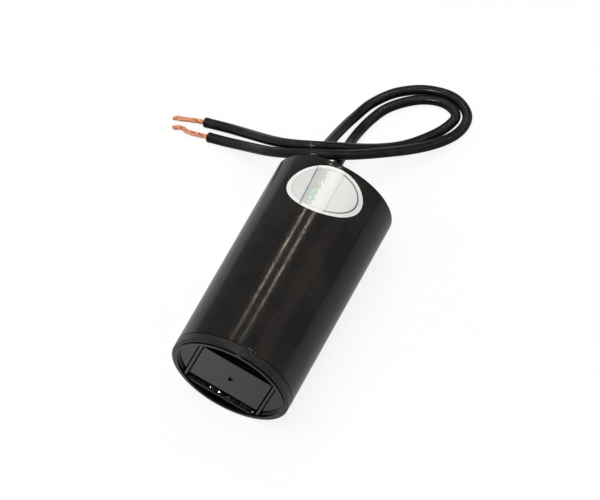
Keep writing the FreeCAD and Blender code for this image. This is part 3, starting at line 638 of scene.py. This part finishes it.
# Resin on the cross bar, mm: half length, height of the bar's foot, turn of the lid in degrees,
# plane of its lip, count and height of the lumps; drops as place along, depth and radius. The
# section is height above the foot and depth behind the lip.
bead = {"reach": 11.9, "foot": -13.3, "turn": 15.5, "lip": -37.15, "lumps": 150, "height": 0.34,
        "drops": ((-4.0, 0.95, 0.42), (-0.8, 1.1, 0.4), (11.3, 1.0, 0.2)),
        "section": ((0.0, 0.62), (0.16, 0.55), (0.3, 0.75), (0.4, 1.1), (0.46, 1.5),
                    (0.52, 2.0), (0.62, 2.6), (0.85, 3.3), (1.3, 3.95), (0.6, 4.1), (0.0, 4.1),
                    (-0.1, 3.0), (-0.1, 1.6), (-0.1, 0.8))}


# Resin that crept up the cross bar of the lid: the section, smoothed, swept along the bar and
# pushed outward by lumps, each a bell of its own width at a random place.
def creptResin():
    rng = np.random.default_rng(5)
    section = np.repeat(np.array(bead["section"]), 4, axis=0)
    for _ in range(6):
        section = (np.roll(section, 1, axis=0) + section * 2 + np.roll(section, -1, axis=0)) / 4
    along = np.linspace(-1, 1, 420)
    u = (along * bead["reach"])[:, None]
    taper = np.clip((1 - np.abs(along)) / 0.02, 0, 1)[:, None] ** 0.5
    lift, depth = section[:, 0][None, :], section[:, 1][None, :]
    bulge = np.zeros((len(u), lift.shape[1]))
    for place in rng.uniform(-11.5, 11.5, bead["lumps"]):
        wide, deep = rng.uniform(0.14, 0.36), rng.uniform(0.65, 2.2)
        tall = bead["height"] * rng.uniform(0.25, 1.0)
        bulge += tall * np.exp(-(((u - place) / wide) ** 2 + ((depth - deep) / wide) ** 2))
    upward = np.clip(lift / 0.3, 0, 1)
    lift = lift + np.minimum(bulge, 0.55) * upward
    # flat-topped drops that mirror the key lamp: a tilted plane that falls away past its rim
    for place, deep, wide in bead["drops"]:
        away = np.sqrt((u - place) ** 2 + (depth - deep) ** 2)
        top = 0.9 + 0.101 * (u - place) + 0.431 * (depth - deep) - 3 * np.maximum(away - wide, 0)
        lift = np.where(upward > 0.9, np.maximum(lift, top), lift)
    lift = lift * taper
    turn = math.radians(bead["turn"])
    across = np.array((math.cos(turn), 0.0, -math.sin(turn)))
    above = np.array((math.sin(turn), 0.0, math.cos(turn)))
    grid = (u[:, :, None] * across + (bead["foot"] + lift)[:, :, None] * above
            + (bead["lip"] + depth + 0 * lift)[:, :, None] * np.array((0.0, 1.0, 0.0))
            + np.array((0.0, 0.0, axisHeight))) * mm
    return meshObject("crept_resin", [gridFaces(grid, capEnds=True)], beadResin)


creep = creptResin()
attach(creep, "root")
print("stage: resin bead made")

table = {"half": 3.0, "paint": "#ecebe9", "clean": "#f0efed", "near": "#cdccca",
         "far": "#5c5a58", "fade": (150.0, 900.0), "shadeSide": (-18.0, 10.0, 0.0, 0.26),
         "glow": 1.01, "cameraShare": 0.87, "mirrorShare": 0.95}


# Matt white paint: the camera sees it nearly white with a soft shadow on it, and black plastic
# mirrors a glow painted as a table that darkens with distance and toward +x: painted shade.
def mattTable():
    material, add = startMaterial("matt_white_table")
    path = add("LightPath", {}, None)
    here = inMillimetres(add)
    uneven = add("TexNoise", {"Vector": here, "Scale": 1 / 30, "Detail": 2.0,
                              "Roughness": 0.5})
    brushed = add("MapRange", {"Value": uneven, **fromTo(0.3, 0.7)})
    paint = layTones(add, shade(table["paint"]), ((brushed, 1.0, table["clean"]),))
    matt = add("BsdfDiffuse", {"Color": paint})
    away = add("VectorMath", {0: here}, "Value", operation="LENGTH")
    fade = add("MapRange", {"Value": away, **fromTo(*table["fade"])})
    rightward = add("SeparateXYZ", {0: here}, "X")
    shaded = add("MapRange", {"Value": rightward, **fromTo(*table["shadeSide"])})
    seen = path.outputs["Is Camera Ray"]
    colour = layTones(add, shade(table["near"]), (
        (fade, 1.0, table["far"]), (shaded, 1.0, "#000000"), (seen, 1.0, "#ffffff")))
    glow = add("Emission", {"Color": colour, "Strength": table["glow"]})
    mirrored = add("Math", {0: path.outputs["Is Glossy Ray"],
                            1: path.outputs["Is Transmission Ray"]}, operation="MAXIMUM")
    shares = [add("Math", {0: ray, 1: share}, operation="MULTIPLY")
              for ray, share in ((seen, table["cameraShare"]), (mirrored, table["mirrorShare"]))]
    share = add("Math", {0: shares[0], 1: shares[1]}, operation="MAXIMUM")
    add("OutputMaterial", {"Surface": add("MixShader", {0: share, 1: matt, 2: glow})}, None)
    return material


half = table["half"]
floorMesh = bpy.data.meshes.new("floor")
floorMesh.from_pydata([(-half, -half, 0), (half, -half, 0), (half, half, 0), (-half, half, 0)],
                      [], [(0, 1, 2, 3)])
floorMesh.materials.append(mattTable())
floor = bpy.data.objects.new("floor", floorMesh)
bpy.context.scene.collection.objects.link(floor)


# A rectangular lamp at spot facing target, with its long side along a direction.
def lamp(name, spot, target, size, power, colour, along=(1, 0, 0)):
    data = bpy.data.lights.new(name, "AREA")
    data.shape = "RECTANGLE"
    data.size, data.size_y = size
    data.energy = power
    data.color = shade(colour)[:3]
    made = bpy.data.objects.new(name, data)
    bpy.context.scene.collection.objects.link(made)
    away = (Vector(spot) - Vector(target)).normalized()
    long = Vector(along)
    long = (long - away * long.dot(away)).normalized()
    made.matrix_basis = Matrix((long, away.cross(long), away)).transposed().to_4x4()
    made.location = spot
    return made


# powers in watts; the panels' are per metre of width; world and horizon are strengths
light = {"strip": 0.19, "panel": 0.28, "fill": 42.0, "key": 1.4, "world": 0.3, "horizon": 0.1,
         "stripSlope": (0.0, 0.93, -0.37), "panelPlace": (0.57, 0.45, 0.7)}

# two narrow strips give the paired lines along the case, nested panels its soft right side
for name, x, z in (("strip_left", -0.290, 0.856), ("strip_right", -0.035, 0.896)):
    lamp(name, (x, 0.468, z), (0, 0.03, 0.03), (0.12, 0.03), light["strip"], "#fff1dc",
         light["stripSlope"])
for name, width in (("panel_wide", 0.4), ("panel_middle", 0.26), ("panel_core", 0.13)):
    lamp(name, light["panelPlace"], (0, 0, 0.03), (width, 0.5), light["panel"] * width,
         "#ffdccb")
# the fill lights matt surfaces alone, so the black ones mirror only strips, panels and key
fill = lamp("fill", (-0.3, -0.2, 2.2), (0, 0.03, 0.0), (1.6, 1.6), light["fill"], "#fffdf9")
fill.visible_glossy = False
lamp("key", (0.09, -0.42, 0.98), (0, -0.03, 0.02), (0.09, 0.06), light["key"], "#fffaf6")

# the room: dimmer toward the front right and low behind, plain white to the camera
world = bpy.data.worlds.new("studio")
bpy.context.scene.world = world
world.use_nodes = True
world.node_tree.nodes.clear()
add = partial(addNode, world.node_tree)
toward = add("TexCoord", {}, "Generated")
front = add("VectorMath", {0: toward, 1: (0.6, -0.8, 0.0)}, "Value", operation="DOT_PRODUCT")
level = add("MapRange", {"Value": front, **fromTo(0.15, 0.75, light["world"], light["horizon"])})
behind = add("SeparateXYZ", {0: toward}, "Y")
behind = add("MapRange", {"Value": behind, **fromTo(0.58, 0.8, 1.0, 0.35)})
level = add("Math", {0: level, 1: behind}, operation="MULTIPLY")
room = add("Background", {"Color": shade("#fbfcff"), "Strength": level})
white = add("Background", {"Color": (1, 1, 1, 1), "Strength": 1.0})
seen = add("LightPath", {}, "Is Camera Ray")
both = add("MixShader", {0: seen, 1: room, 2: white})
add("OutputWorld", {"Surface": both}, None)
bpy.context.scene.view_settings.view_transform = "Standard"
print("stage: stage set")
